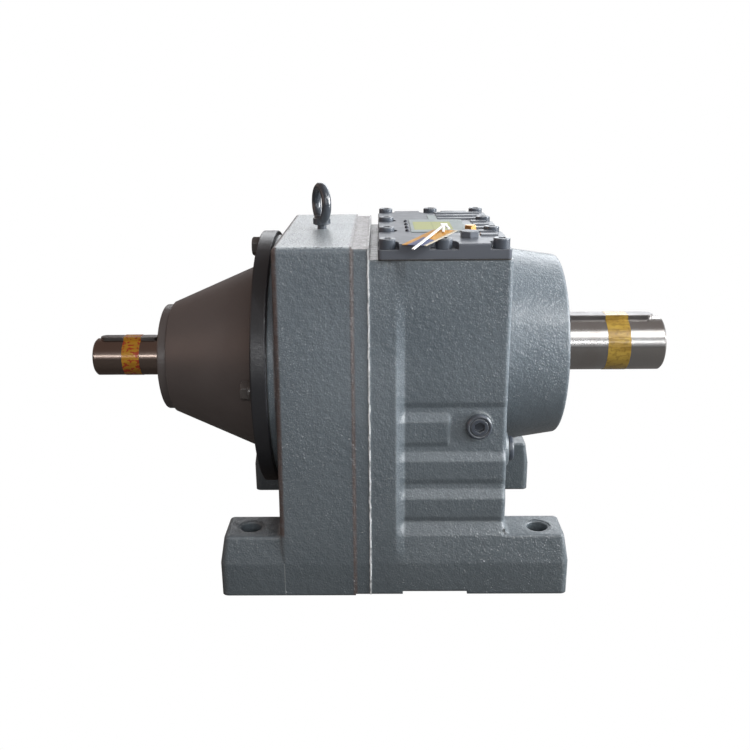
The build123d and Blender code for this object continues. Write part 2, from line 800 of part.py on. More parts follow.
def input_cover_bolts():
    bolts = []
    head_x = flange_x0 - bolt_washer_t
    for y, z in cover_bolt_places():
        plane = Plane(origin=(head_x, y, z), x_dir=(0, 0, 1), z_dir=(-1, 0, 0))
        head = extrude(plane * RegularPolygon(bolt_across / math.sqrt(3), 6), bolt_head_h)
        round_off = rod(head_x - bolt_head_h, head_x, bolt_across / math.sqrt(3), (y, z))
        round_off = chamfer(round_off.edges().sort_by(Axis.X)[0], bolt_head_bevel)
        bolts.append((head & round_off) + rod(head_x, cover_bolt_end_x, cover_bolt_r, (y, z)))
    return group(bolts)


def input_cover_washers():
    washers = []
    for place in cover_bolt_places():
        washers.append(ring(flange_x0 - bolt_washer_t, flange_x0, cover_bolt_r + 0.3, bolt_washer_r, place))
    return group(washers)


# ---------------------------------------------------------------- shafts
def key_block(x0, x1, width, z0, z1):
    """Round-ended parallel key on top of a shaft."""
    length = x1 - x0
    face = Pos((x0 + x1) / 2, 0, z0) * SlotOverall(length, width)
    return extrude(face, z1 - z0)


def end_chamfer(shape, size, at_end):
    edges = shape.edges().sort_by(Axis.X)
    return chamfer(edges[-1] if at_end > 0 else edges[0], size)


input_centre_thread = (8.0, 36.0)
output_centre_thread = (10.0, 42.0)
input_key = (-330.0, -264.0, 12.0, 5.0, 8.0)
output_key = (191.0, 291.0, 18.0, 7.0, 11.0)


def key_from(spec, shaft_d, axis):
    x0, x1, width, depth, height = spec
    seat_z = axis[1] + shaft_d / 2 - depth
    return chamfer(key_block(x0, x1, width, seat_z, seat_z + height).edges().group_by(Axis.Z)[-1], 0.5)


def keyway_from(spec, shaft_d, axis):
    x0, x1, width, depth, height = spec
    seat_z = axis[1] + shaft_d / 2 - depth
    return key_block(x0, x1, width, seat_z, seat_z + height)


def centre_hole(end_x, inward, thread, axis):
    """Threaded centre hole in a shaft end, as (radius, depth)."""
    bottom_x = end_x + inward * thread[1]
    return rod(min(end_x, bottom_x), max(end_x, bottom_x), thread[0], axis)


input_shoulder_d = input_bearing[0]
input_collar_r = 27.5
input_inner_end_x = -122.0
pinion_shank_r = 11.0
pinion_bore_x = -172.0
pinion_1_x = (-95.0, -67.0)
wheel_1_x = (-92.0, -70.0)
pinion_2_x = (-64.0, -30.0)
wheel_2_x = (-62.0, -32.0)
pinion_3_x = (-3.0, 58.0)
wheel_3_x = (0.0, 55.0)
wheel_1_hub = (27.0, 44.0)
wheel_2_hub = (36.0, 58.0)
wheel_3_hub = (54.0, 86.0)
spacer_b_r = 29.0
output_spacer_r = 30.0
circlip_inner_r = 54.0


def input_shaft():
    r = input_d / 2
    seat_r = input_shoulder_d / 2
    step_x = nose_x - 1.0
    collar_x = nose_bearing_x + input_bearing[2]
    shaft = turned([(input_end_x, 0), (input_end_x, r), (step_x, r), (step_x, seat_r), (collar_x, seat_r),
                    (collar_x, input_collar_r), (rear_bearing_x, input_collar_r), (rear_bearing_x, seat_r),
                    (input_inner_end_x, seat_r), (input_inner_end_x, 0)], input_axis)
    shaft = end_chamfer(shaft, 2.0, -1)
    shaft -= rod(pinion_bore_x, input_inner_end_x + 1, pinion_shank_r, input_axis)
    shaft -= keyway_from(input_key, input_d, input_axis)
    return shaft - centre_hole(input_end_x, 1, input_centre_thread, input_axis)


def input_pinion():
    """First pinion on a shank that is pressed into the end of the input shaft."""
    x0, x1 = pinion_1_x
    phase = direction(input_axis, shaft_a_axis)
    teeth = placed(gear(stage_1, stage_1[1], x0, x1, phase), input_axis)
    return teeth + rod(pinion_bore_x + 2, x0, pinion_shank_r, input_axis)


bearing_a = (25.0, 62.0, 17.0)
bearing_b_rear = (35.0, 80.0, 21.0)
bearing_a_left_x = -112.0
bearing_a_right_x = -25.5
bearing_b_rear_x = 90.0
wheel_a_r = 17.0
wheel_b_r = 24.0
wheel_out_r = 35.0
shoulder_a_r = 20.0
shoulder_b_r = 28.0
rear_b_r = 25.0


def countershaft_a():
    """Stepped shaft cut in one piece with the second pinion."""
    j = bearing_a[0] / 2
    left_end = bearing_a_left_x + bearing_a[2]
    right_end = bearing_a_right_x + bearing_a[2]
    stop_x = wheel_1_x[1]
    shaft = turned([(bearing_a_left_x, 0), (bearing_a_left_x, j), (left_end, j), (left_end, wheel_a_r),
                    (stop_x, wheel_a_r), (stop_x, shoulder_a_r), (bearing_a_right_x, shoulder_a_r),
                    (bearing_a_right_x, j), (right_end, j), (right_end, 0)], shaft_a_axis)
    phase = direction(shaft_a_axis, shaft_b_axis)
    return shaft + placed(gear(stage_2, stage_2[1], *pinion_2_x, phase), shaft_a_axis)


def wheel(stage, rim, hub_x0, bore_r, hub, axis_in, axis):
    """Gear wheel with rim, thinner web and hub, meshing towards the pinion on axis_in."""
    rim_x0, rim_x1 = rim
    hub_r, rim_r = hub
    teeth = stage[2]
    gap = direction(axis, axis_in) + math.pi / teeth
    body = placed(gear(stage, teeth, rim_x0, rim_x1, gap), axis)
    recess = 0.22 * (rim_x1 - rim_x0)
    body -= ring(rim_x0 - 1, rim_x0 + recess, hub_r, rim_r, axis)
    body -= ring(rim_x1 - recess, rim_x1 + 1, hub_r, rim_r, axis)
    if hub_x0 < rim_x0:
        body += rod(hub_x0, rim_x0 + recess, hub_r, axis)
    return body - rod(hub_x0 - 1, rim_x1 + 1, bore_r, axis)


def countershaft_b():
    """Stepped shaft cut in one piece with the third pinion."""
    front_r = bearing_b_front[0] / 2
    rear_r = bearing_b_rear[0] / 2
    front_end = bearing_b_front_x + bearing_b_front[2]
    rear_end = bearing_b_rear_x + bearing_b_rear[2]
    stop_x = wheel_2_x[1]
    turn_x = pinion_3_x[0] - 2
    shaft = turned([(bearing_b_front_x, 0), (bearing_b_front_x, front_r), (front_end, front_r),
                    (front_end, wheel_b_r), (stop_x, wheel_b_r), (stop_x, shoulder_b_r),
                    (turn_x, shoulder_b_r), (turn_x, rear_b_r), (bearing_b_rear_x, rear_b_r),
                    (bearing_b_rear_x, rear_r), (rear_end, rear_r), (rear_end, 0)], shaft_b_axis)
    phase = direction(shaft_b_axis, output_axis)
    return shaft + placed(gear(stage_3, stage_3[1], *pinion_3_x, phase), shaft_b_axis)


bearing_out_left = (45.0, 85.0, 19.0)
bearing_out_right = (65.0, 120.0, 23.0)


output_seat_r = bearing_out_left[0] / 2
output_collar_r = 41.0
output_collar_x1 = 68.0


def output_shaft():
    """Solid output shaft: wheel seat against a collar, bearing seats on both sides, keyed end."""
    seal_r = bearing_out_right[0] / 2
    hub_x0, hub_x1 = wheel_3_x
    shaft = turned([(web_x0, 0), (web_x0, output_seat_r), (hub_x0, output_seat_r), (hub_x0, wheel_out_r),
                    (hub_x1, wheel_out_r), (hub_x1, output_collar_r), (output_collar_x1, output_collar_r),
                    (output_collar_x1, wheel_out_r), (output_bearing_x, wheel_out_r),
                    (output_bearing_x, seal_r), (boss_end_x, seal_r), (boss_end_x, output_d / 2),
                    (output_end_x, output_d / 2), (output_end_x, 0)], output_axis)
    shaft = end_chamfer(shaft, 2.0, 1)
    shaft -= keyway_from(output_key, output_d, output_axis)
    return shaft - centre_hole(output_end_x, -1, output_centre_thread, output_axis)


def lip_seal(x0, x1, shaft_r, outer_r, axis):
    """Radial shaft seal: metal-backed ring with a lip that runs just clear of the shaft."""
    depth = x1 - x0
    lip_r = shaft_r + 0.2
    back_r = shaft_r + 1.5
    inside_r = outer_r - 4
    return turned([(x0, outer_r), (x1, outer_r), (x1, back_r), (x1 - 1.5, back_r), (x1 - 2.5, lip_r),
                   (x0 + 0.3 * depth, lip_r), (x0 + 0.2 * depth, inside_r), (x0, inside_r)], axis)


tape_t = 0.25
input_tape_x = (-303.0, -283.5)
output_tape_x = (237.0, 262.0)


def tape_band(x0, x1, shaft_r, axis, spec):
    """One turn of adhesive tape around a shaft end, running up over the key."""
    t = tape_t
    key_x0, key_x1, width, depth, height = spec
    top = shaft_r - depth + height
    band = rod(x0, x1, shaft_r + t, axis)
    band += block(x0, x1, axis[0] - width / 2 - t, axis[0] + width / 2 + t, axis[1], axis[1] + top + t)
    core = rod(x0 - 1, x1 + 1, shaft_r, axis)
    core += block(x0 - 1, x1 + 1, axis[0] - width / 2, axis[0] + width / 2, axis[1], axis[1] + top)
    return band - core


# ---------------------------------------------------------------- build
level, level_washer = socket_plug((level_plug[0], level_plug_face_y, level_plug[1]), (0, -1, 0))
drain, drain_washer = socket_plug((rear_right_x + right_plug_boss[1], *right_plug), (1, 0, 0))
input_seal_x = (nose_x + 1.5, nose_bearing_x - 1.0)
output_seal_x = (boss_end_x - 11.5, boss_end_x - 1.0)
circlip_x = (boss_end_x - 14.9, boss_end_x - output_seal_depth)
hub_1_x0 = wheel_1_x[0] - 2.5
spacer_b_x0 = bearing_b_front_x + bearing_b_front[2] + 0.5

parts = {
    "housing": housing(),
    "lid_gasket": lid_gasket(),
    "inspection_lid": inspection_cover(),
    "lid_screws": lid_screws(),
    "breather_plug": hex_plug_upright(breather_place, breather_spec),
    "lid_vent_plug": hex_plug_upright(vent_place, vent_spec),
    "name_plate": name_plate(),
    "name_plate_pins": name_plate_pins(),
    "paper_tag": paper_tag(),
    "tag_tie": tag_tie(),
    "eye_bolt": eye_bolt(),
    "oil_level_plug": level,
    "end_plug": drain,
    "plug_washers": group([level_washer, drain_washer]),
    "closing_caps": closing_caps(),
    "input_cover": input_cover(),
    "input_cover_gasket": input_cover_gasket(),
    "input_cover_bolts": input_cover_bolts(),
    "input_cover_washers": input_cover_washers(),
    "input_oil_seal": lip_seal(*input_seal_x, input_shoulder_d / 2, input_seal_r, input_axis),
    "input_shaft": input_shaft(),
    "input_key": key_from(input_key, input_d, input_axis),
    "input_tape": tape_band(*input_tape_x, input_d / 2, input_axis, input_key),
    "input_pinion": input_pinion(),
    "countershaft_a": countershaft_a(),
    "first_stage_wheel": wheel(stage_1, wheel_1_x, hub_1_x0, wheel_a_r, wheel_1_hub, input_axis,
                               shaft_a_axis),
    "countershaft_b": countershaft_b(),
    "second_stage_wheel": wheel(stage_2, wheel_2_x, wheel_2_x[0], wheel_b_r, wheel_2_hub, shaft_a_axis,
                                shaft_b_axis),
    "countershaft_b_spacer": ring(spacer_b_x0, wheel_2_x[0], wheel_b_r, spacer_b_r, shaft_b_axis),
    "output_shaft": output_shaft(),
    "output_wheel": wheel(stage_3, wheel_3_x, wheel_3_x[0], wheel_out_r, wheel_3_hub, shaft_b_axis,
                          output_axis),
    "output_spacer": ring(web_x1, wheel_3_x[0], output_seat_r, output_spacer_r, output_axis),
    "output_key": key_from(output_key, output_d, output_axis),
    "output_tape": tape_band(*output_tape_x, output_d / 2, output_axis, output_key),
    "output_oil_seal": lip_seal(*output_seal_x, bearing_out_right[0] / 2, output_seal_r, output_axis),
    "output_bearing_circlip": ring(*circlip_x, circlip_inner_r, seat_out_right_r, output_axis),
}
for node, shape in parts.items():
    save(node, shape)

bearing("input_nose_bearing", nose_bearing_x, *input_bearing, 9, input_axis)
bearing("input_inner_bearing", rear_bearing_x, *input_bearing, 9, input_axis)
bearing("countershaft_a_front_bearing", bearing_a_left_x, *bearing_a, 7, shaft_a_axis)
bearing("countershaft_a_rear_bearing", bearing_a_right_x, *bearing_a, 7, shaft_a_axis)
bearing("countershaft_b_front_bearing", bearing_b_front_x, *bearing_b_front, 8, shaft_b_axis)
bearing("countershaft_b_rear_bearing", bearing_b_rear_x, *bearing_b_rear, 8, shaft_b_axis)
bearing("output_inner_bearing", web_x0, *bearing_out_left, 9, output_axis)
bearing("output_outer_bearing", output_bearing_x, *bearing_out_right, 10, output_axis)
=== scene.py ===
import json
import math

import bpy
from mathutils import Matrix, Vector

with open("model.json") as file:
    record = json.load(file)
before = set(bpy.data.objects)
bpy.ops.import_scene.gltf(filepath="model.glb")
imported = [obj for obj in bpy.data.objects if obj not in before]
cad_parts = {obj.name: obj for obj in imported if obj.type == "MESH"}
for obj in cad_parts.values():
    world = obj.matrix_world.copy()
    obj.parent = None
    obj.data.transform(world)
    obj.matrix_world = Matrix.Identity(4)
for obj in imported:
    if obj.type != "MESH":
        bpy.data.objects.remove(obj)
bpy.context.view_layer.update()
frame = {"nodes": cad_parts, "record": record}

# Looks of an inline gear reducer. Metres, in the frame of the CAD model: +X along the shafts, +Z up.
MM = 0.001

# ---------------------------------------------------------------- camera
SENSOR = 36.0
FARTHEST_VIEW = 20.0
LENS = 40.87
CAMERA_PLACE = Vector((-0.0118, -0.9308, 0.4898))
CAMERA_YAW = -0.0117
CAMERA_PITCH = 0.3077
CAMERA_ROLL = -0.0089
CAMERA_SHIFT = (0.0036, -0.0021)


def make_camera():
    data = bpy.data.cameras.new("camera")
    data.sensor_width = SENSOR
    data.lens = LENS
    data.shift_x, data.shift_y = CAMERA_SHIFT
    data.clip_end = FARTHEST_VIEW
    camera = bpy.data.objects.new("camera", data)
    forward = Vector((
        math.sin(CAMERA_YAW) * math.cos(CAMERA_PITCH),
        math.cos(CAMERA_YAW) * math.cos(CAMERA_PITCH),
        -math.sin(CAMERA_PITCH),
    ))
    level = Vector((math.cos(CAMERA_YAW), -math.sin(CAMERA_YAW), 0.0))
    upright = level.cross(forward)
    side = level * math.cos(CAMERA_ROLL) + upright * math.sin(CAMERA_ROLL)
    up = upright * math.cos(CAMERA_ROLL) - level * math.sin(CAMERA_ROLL)
    turn = Matrix((side, up, -forward)).transposed()
    camera.matrix_world = Matrix.Translation(CAMERA_PLACE) @ turn.to_4x4()
    bpy.context.scene.collection.objects.link(camera)
    bpy.context.scene.camera = camera


# ---------------------------------------------------------------- floor and light
FLOOR_REACH = 30.0


def make_floor():
    mesh = bpy.data.meshes.new("floor")
    signs = [(-1, -1), (1, -1), (1, 1), (-1, 1)]
    corners = [(FLOOR_REACH * x, FLOOR_REACH * y, 0) for x, y in signs]
    mesh.from_pydata(corners, [], [(0, 1, 2, 3)])
    floor = bpy.data.objects.new("floor", mesh)
    bpy.context.scene.collection.objects.link(floor)
    floor.data.materials.append(floor_material())


def area_light(name, place, target, width, height, radiance, color):
    """Rectangular lamp; its power follows from the wanted radiance and its size."""
    data = bpy.data.lights.new(name, "AREA")
    data.shape = "RECTANGLE"
    data.size = width
    data.size_y = height
    data.energy = radiance * math.pi * width * height
    data.color = color
    lamp = bpy.data.objects.new(name, data)
    lamp.location = place
    lamp.rotation_euler = (Vector(target) - Vector(place)).to_track_quat("-Z", "Y").to_euler()
    bpy.context.scene.collection.objects.link(lamp)


WHITE = (1.0, 1.0, 1.0, 1.0)
GROUND_COLOR = (0.12, 0.115, 0.11, 1.0)
GROUND_GLOW = (0.14, 0.135, 0.125, 1.0)
SIDE_GLOW = (0.40, 0.41, 0.43, 1.0)
WARM_GLOW = (0.25, 0.185, 0.160, 1.0)
ROOF_GLOW = (0.32, 0.29, 0.28, 1.0)
WARM_ROOF_GLOW = (0.18, 0.125, 0.105, 1.0)

# Where one glow fades into the next, as parts of the direction looked in.
SIDE_FADE_X = (-0.6, 0.2)
ROOF_FADE_X = (-0.4, 0.2)
ROOF_FADE_Z = (0.5, 0.8)
GROUND_FADE_Z = (-0.2, 0.15)

# Sockets of a Mix node that hold its two colours and their blend.
MIX_COLOR_A = 6
MIX_COLOR_B = 7
MIX_RESULT = 2


def make_world():
    """White to the camera; for everything else a bright sky over dull sides, warmer on the left."""
    world = bpy.data.worlds.new("studio")
    bpy.context.scene.world = world
    world.use_nodes = True
    tree = world.node_tree
    background = tree.nodes["Background"]
    direction = tree.nodes.new("ShaderNodeSeparateXYZ")
    tree.links.new(tree.nodes.new("ShaderNodeTexCoord").outputs["Generated"], direction.inputs[0])

    def blend(value, fade_range, color_a, color_b):
        fade = tree.nodes.new("ShaderNodeMapRange")
        tree.links.new(value, fade.inputs["Value"])
        fade.inputs["From Min"].default_value, fade.inputs["From Max"].default_value = fade_range
        mix = tree.nodes.new("ShaderNodeMix")
        mix.data_type = "RGBA"
        tree.links.new(fade.outputs["Result"], mix.inputs["Factor"])
        for socket, color in ((mix.inputs[MIX_COLOR_A], color_a), (mix.inputs[MIX_COLOR_B], color_b)):
            if isinstance(color, bpy.types.NodeSocket):
                tree.links.new(color, socket)
            else:
                socket.default_value = color
        return mix.outputs[MIX_RESULT]

    sides = blend(direction.outputs["X"], SIDE_FADE_X, WARM_GLOW, SIDE_GLOW)
    roof = blend(direction.outputs["X"], ROOF_FADE_X, WARM_ROOF_GLOW, ROOF_GLOW)
    above = blend(direction.outputs["Z"], ROOF_FADE_Z, sides, roof)
    around = blend(direction.outputs["Z"], GROUND_FADE_Z, GROUND_GLOW, above)
    path = tree.nodes.new("ShaderNodeLightPath")
    seen = blend(path.outputs["Is Camera Ray"], (0.0, 1.0), around, WHITE)
    tree.links.new(seen, background.inputs["Color"])
    background.inputs["Strength"].default_value = 1.0


MIDDLE = (0.0, 0.0, 0.2)
LID_CORNER = (0.1, 0.0, 0.3)

# Name, place, target, width, height, radiance and colour of each lamp.
LIGHTS = (
    ("back_light", (0.9, 3.0, 1.75), MIDDLE, 4.2, 1.5, 3.0, (0.94, 0.97, 1.0)),
    ("low_back_light", (0.95, 3.0, 0.85), MIDDLE, 1.3, 0.7, 1.5, (0.92, 0.96, 1.0)),
    ("right_light", (2.6, -0.20, 1.0), MIDDLE, 1.8, 1.5, 18.0, (0.96, 0.98, 1.0)),
    ("front_light", (0.7, -1.3, 1.9), LID_CORNER, 1.3, 0.9, 2.5, (0.99, 1.0, 1.0)),
    ("front_window", (0.0, -3.4, 1.35), MIDDLE, 3.4, 0.30, 8.5, (0.97, 0.99, 1.0)),
    ("lamp_glints", (1.3, -1.5, 1.9), MIDDLE, 0.25, 0.25, 60.0, (1.0, 1.0, 1.0)),
    ("left_light", (-2.4, -0.5, 0.8), MIDDLE, 1.6, 1.2, 0.9, (0.95, 0.62, 0.50)),
)


def make_lights():
    for light in LIGHTS:
        area_light(*light)


# ---------------------------------------------------------------- material helpers
FACING_UP_Z = (0.6, 0.9)
BEVEL_SAMPLES = 6
EDGE_COSINES = (0.995, 0.88)


class Nodes:
    """Short way to build a node tree: each call adds one node and links its inputs."""

    def __init__(self, name):
        self.material = bpy.data.materials.new(name)
        self.material.use_nodes = True
        self.tree = self.material.node_tree
        self.shader = self.tree.nodes["Principled BSDF"]
        self.rounded = None
        self.coordinates = self.add("ShaderNodeTexCoord").outputs["Object"]

    def add(self, kind, **settings):
        node = self.tree.nodes.new(kind)
        for key, value in settings.items():
            setattr(node, key, value)
        return node

    def link(self, value, socket):
        if isinstance(value, bpy.types.NodeSocket):
            self.tree.links.new(value, socket)
        else:
            socket.default_value = value

    def noise(self, scale, detail=3.0, roughness=0.5, vector=None):
        node = self.add("ShaderNodeTexNoise")
        self.link(vector or self.coordinates, node.inputs["Vector"])
        node.inputs["Scale"].default_value = scale
        node.inputs["Detail"].default_value = detail
        node.inputs["Roughness"].default_value = roughness
        return node.outputs["Fac"]

    def pebbles(self, scale, smoothness=0.6):
        node = self.add("ShaderNodeTexVoronoi", feature="SMOOTH_F1")
        self.link(self.coordinates, node.inputs["Vector"])
        node.inputs["Scale"].default_value = scale
        node.inputs["Smoothness"].default_value = smoothness
        return node.outputs["Distance"]

    def stretched(self, x, y, z):
        node = self.add("ShaderNodeMapping")
        self.link(self.coordinates, node.inputs["Vector"])
        node.inputs["Scale"].default_value = (x, y, z)
        return node.outputs["Vector"]

    def math(self, operation, a, b=0.0, clamp=False):
        node = self.add("ShaderNodeMath", operation=operation, use_clamp=clamp)
        self.link(a, node.inputs[0])
        self.link(b, node.inputs[1])
        return node.outputs[0]

    def facing_up(self):
        """1 on faces that look up, 0 on upright ones."""
        normal = self.add("ShaderNodeNewGeometry").outputs["Normal"]
        return self.ramp(self.part(normal, "Z"), *FACING_UP_Z)

    def part(self, vector, axis):
        node = self.add("ShaderNodeSeparateXYZ")
        self.link(vector, node.inputs[0])
        return node.outputs[axis]

    def ramp(self, value, low, high, low_out=0.0, high_out=1.0):
        node = self.add("ShaderNodeMapRange", clamp=True)
        self.link(value, node.inputs["Value"])
        node.inputs["From Min"].default_value = low
        node.inputs["From Max"].default_value = high
        node.inputs["To Min"].default_value = low_out
        node.inputs["To Max"].default_value = high_out
        return node.outputs["Result"]

    def mix(self, factor, color_a, color_b):
        node = self.add("ShaderNodeMix", data_type="RGBA")
        self.link(factor, node.inputs["Factor"])
        self.link(rgba(color_a), node.inputs[MIX_COLOR_A])
        self.link(rgba(color_b), node.inputs[MIX_COLOR_B])
        return node.outputs[MIX_RESULT]

    def soften(self, radius):
        """Normal that rolls over sharp edges, as thick paint and cast corners do."""
        bevel = self.add("ShaderNodeBevel", samples=BEVEL_SAMPLES)
        bevel.inputs["Radius"].default_value = radius
        self.rounded = bevel.outputs["Normal"]
        return self.rounded

    def bump(self, height, distance, strength=1.0, below=None):
        node = self.add("ShaderNodeBump")
        self.link(height, node.inputs["Height"])
        node.inputs["Distance"].default_value = distance
        node.inputs["Strength"].default_value = strength
        if below is not None:
            self.link(below, node.inputs["Normal"])
        return node.outputs["Normal"]

    def edges(self):
        """1 where the softened normal leaves the true one, at edges and tight corners, 0 on flats."""
        dot = self.add("ShaderNodeVectorMath", operation="DOT_PRODUCT")
        self.link(self.rounded, dot.inputs[0])
        self.link(self.add("ShaderNodeNewGeometry").outputs["Normal"], dot.inputs[1])
        return self.ramp(dot.outputs["Value"], *EDGE_COSINES)

    def within(self, value, low, high, soft):
        """1 where value lies between low and high, with soft borders."""
        rise = self.ramp(value, low - soft, low + soft)
        fall = self.ramp(value, high - soft, high + soft, 1.0, 0.0)
        return self.math("MULTIPLY", rise, fall)

    def finish(self, **values):
        for key, value in values.items():
            self.link(rgba(value), self.shader.inputs[key.replace("_", " ")])
        return self.material


def rgba(value):
    if isinstance(value, tuple) and len(value) == 3:
        return (*value, 1.0)
    return value


# ---------------------------------------------------------------- materials
def floor_material():
    """Plain white to the camera, and dull ground for everything that mirrors it."""
    n = Nodes("floor")
    paper = n.add("ShaderNodeEmission")
    paper.inputs["Color"].default_value = WHITE
    dull = n.add("ShaderNodeBsdfDiffuse")
    dull.inputs["Color"].default_value = GROUND_COLOR
    mixed = n.add("ShaderNodeMixShader")
    n.link(n.add("ShaderNodeLightPath").outputs["Is Camera Ray"], mixed.inputs[0])
    n.link(dull.outputs[0], mixed.inputs[1])
    n.link(paper.outputs[0], mixed.inputs[2])
    n.link(mixed.outputs[0], n.tree.nodes["Material Output"].inputs["Surface"])
    return n.material


PALE = (0.42, 0.44, 0.44)
# Pale flecks painted as glints of the hammered gloss.
GLINT_COLOR = (0.62, 0.66, 0.68)

# Scales of the noise patterns, in waves per metre, and the ranges that their values are cut to.
CLOUDS = 9.0
GLINT_FIELDS = 14.0
PATCHES = 26.0
SMUDGES = 30.0
SHEEN = 40.0
PLATE_CLOUDS = 45.0
CARD_CLOUDS = 60.0
GLOSS_PATCHES = 80.0
WEAR = 90.0
FLASH_WANDER = 110.0
BROWN_EDGE_PATCHES = 120.0
FLASH_BREAKS = 150.0
METAL_GRAIN = 500.0
TOP_REFLECTION_GRAIN = 520.0
PAINT_GRAIN = 560.0
GLINT_DOTS = 760.0
SOFT_HALF = (0.35, 0.65)
WIDE_HALF = (0.3, 0.7)
UPPER_HALF = (0.5, 0.75)
WEAR_RANGE = (0.40, 0.60)
GLINT_DOT_RANGE = (0.61, 0.67)
GLINT_FIELD_RANGE = (0.40, 0.62)


def paint_tone(n, dark, light, edge_radius=1.4 * MM):
    """Cloudy paint colour, rubbed paler at the edges."""
    rub_strength = 0.35
    n.soften(edge_radius)
    cloud = n.ramp(n.noise(CLOUDS, 4.0), *SOFT_HALF)
    rubbed = n.math("MULTIPLY", n.edges(), n.ramp(n.noise(WEAR, 4.0), *WEAR_RANGE))
    return n.mix(n.math("MULTIPLY", rubbed, rub_strength), n.mix(cloud, dark, light), PALE)


def glint_specks(n, tone, amount):
    """Painted glints: small pale flecks standing in for the sparkle of the hammered gloss, thick in some
    places and rare in others.
    """
    rarest = 0.15
    glint_dot_mask = n.ramp(n.noise(GLINT_DOTS, 2.0, 0.6), *GLINT_DOT_RANGE)
    thick = n.ramp(n.noise(GLINT_FIELDS, 2.0), *GLINT_FIELD_RANGE, rarest, 1.0)
    return n.mix(n.math("MULTIPLY", n.math("MULTIPLY", glint_dot_mask, thick), amount), tone, GLINT_COLOR)


def paint_skin(n, tone, roughness, bump_mm, coat=0.6, gloss=0.5):
    """Thick gloss over the tone: the clear skin is hammered, the colour under it only rolls slowly."""
    spread = 0.06
    fine_share = 1.2
    clear_roughness = 0.09
    slow = n.noise(PAINT_GRAIN / 4, 3.0)
    fine = n.math("ADD", n.pebbles(PAINT_GRAIN), n.noise(PAINT_GRAIN * 0.8, 2.0))
    skin = n.math("ADD", n.math("MULTIPLY", fine, fine_share), slow)
    sheen = n.ramp(n.noise(SHEEN, 3.0), *WIDE_HALF, roughness - spread, roughness + spread)
    rolling = n.bump(slow, bump_mm * MM / 2, below=n.rounded)
    hammered = n.bump(skin, bump_mm * MM, below=n.rounded)
    return n.finish(
        Base_Color=tone,
        Roughness=sheen,
        Normal=rolling,
        Specular_IOR_Level=gloss,
        Coat_Weight=coat,
        Coat_Roughness=clear_roughness,
        Coat_Normal=hammered,
    )


def machine_paint(name, dark, light, roughness, bump_mm, coat=0.6, gloss=0.5):
    """Painted small parts: one cloudy tone under the skin."""
    n = Nodes(name)
    return paint_skin(n, paint_tone(n, dark, light), roughness, bump_mm, coat=coat, gloss=gloss)


MOULD_LINE_X = -0.0243
BAND_LEFT_X = -0.0400
LID_LEFT_X = -0.0150
BLOCK_LEFT_X = -0.1172
TOP_Z = 0.3400
FOOT_CREASE_Z = 0.0360
FOOT_TOP_Z = 0.0648
FOOT_SEAM_X = (-0.1136, -0.1130)
FLANGE_LEFT_X = -0.1440
HAIR = 0.3 * MM
# Dark brown painted as shade and brown reflection.
BROWN_REFLECTION_SHADE = (0.075, 0.050, 0.043)
FLASH = (0.74, 0.76, 0.77)
GROUND_METAL = (0.085, 0.056, 0.050)
SCRATCH = (0.60, 0.57, 0.55)
CASTING_DARK = (0.098, 0.123, 0.143)
CASTING_LIGHT = (0.125, 0.153, 0.174)
# Painted shade: the colour the casting darkens to towards the floor.
LOW_PAINTED_SHADE = (0.052, 0.060, 0.062)
# Painted reflection: dark specks and near-white highs of the sky mirrored on the top faces.
TOP_REFLECTION_DARK = (0.050, 0.060, 0.070)
TOP_REFLECTION_LIGHT = (0.37, 0.41, 0.43)
# Cone tones with a painted brown reflection in them; the flange colour is painted shade.
CONE_DARK_WITH_REFLECTION = (0.074, 0.064, 0.061)
CONE_LIGHT_WITH_REFLECTION = (0.094, 0.082, 0.079)
FLANGE_PAINTED_SHADE = (0.016, 0.017, 0.020)


def ground_strip(n, tone, x, on_top):
    """The strip in front of the lid, ground back to dull metal with scratches across it."""
    cover = 0.85
    strip = n.math("MULTIPLY", n.within(x, BAND_LEFT_X, LID_LEFT_X, 2 * HAIR), on_top)
    scratches = n.ramp(n.noise(1.0, 3.0, vector=n.stretched(160.0, 900.0, 160.0)), 0.56, 0.66)
    ground = n.mix(scratches, GROUND_METAL, SCRATCH)
    return n.mix(n.math("MULTIPLY", strip, cover), tone, ground)


def brown_reflection_edges(n, tone, x, z):
    """Painted shade and brown reflection along the left corner of the casting and in the line beside the
    band.
    """
    groove = n.within(x, BAND_LEFT_X - 2.2 * MM, BAND_LEFT_X + 1.6 * MM, MM)
    corner = n.within(x, BLOCK_LEFT_X - MM, BLOCK_LEFT_X + 5 * MM, MM)
    corner = n.math("MULTIPLY", corner, n.ramp(z, FOOT_TOP_Z, FOOT_TOP_Z + 4 * MM))
    patchy = n.ramp(n.noise(BROWN_EDGE_PATCHES, 3.0), 0.3, 0.5, 0.55, 0.85)
    return n.mix(n.math("MULTIPLY", n.math("MAXIMUM", groove, corner), patchy), tone, BROWN_REFLECTION_SHADE)


def mould_line(n, tone, x):
    """Pale ragged flash line where the two halves of the mould met."""
    wander = n.math("MULTIPLY", n.math("SUBTRACT", n.noise(FLASH_WANDER, 4.0), 0.5), 2.4 * MM)
    line = n.within(n.math("ADD", x, wander), MOULD_LINE_X - 0.9 * MM, MOULD_LINE_X + 0.8 * MM, HAIR)
    broken = n.ramp(n.noise(FLASH_BREAKS, 3.0), 0.34, 0.48, 0.35, 1.0)
    return n.mix(n.math("MULTIPLY", line, broken), tone, FLASH)


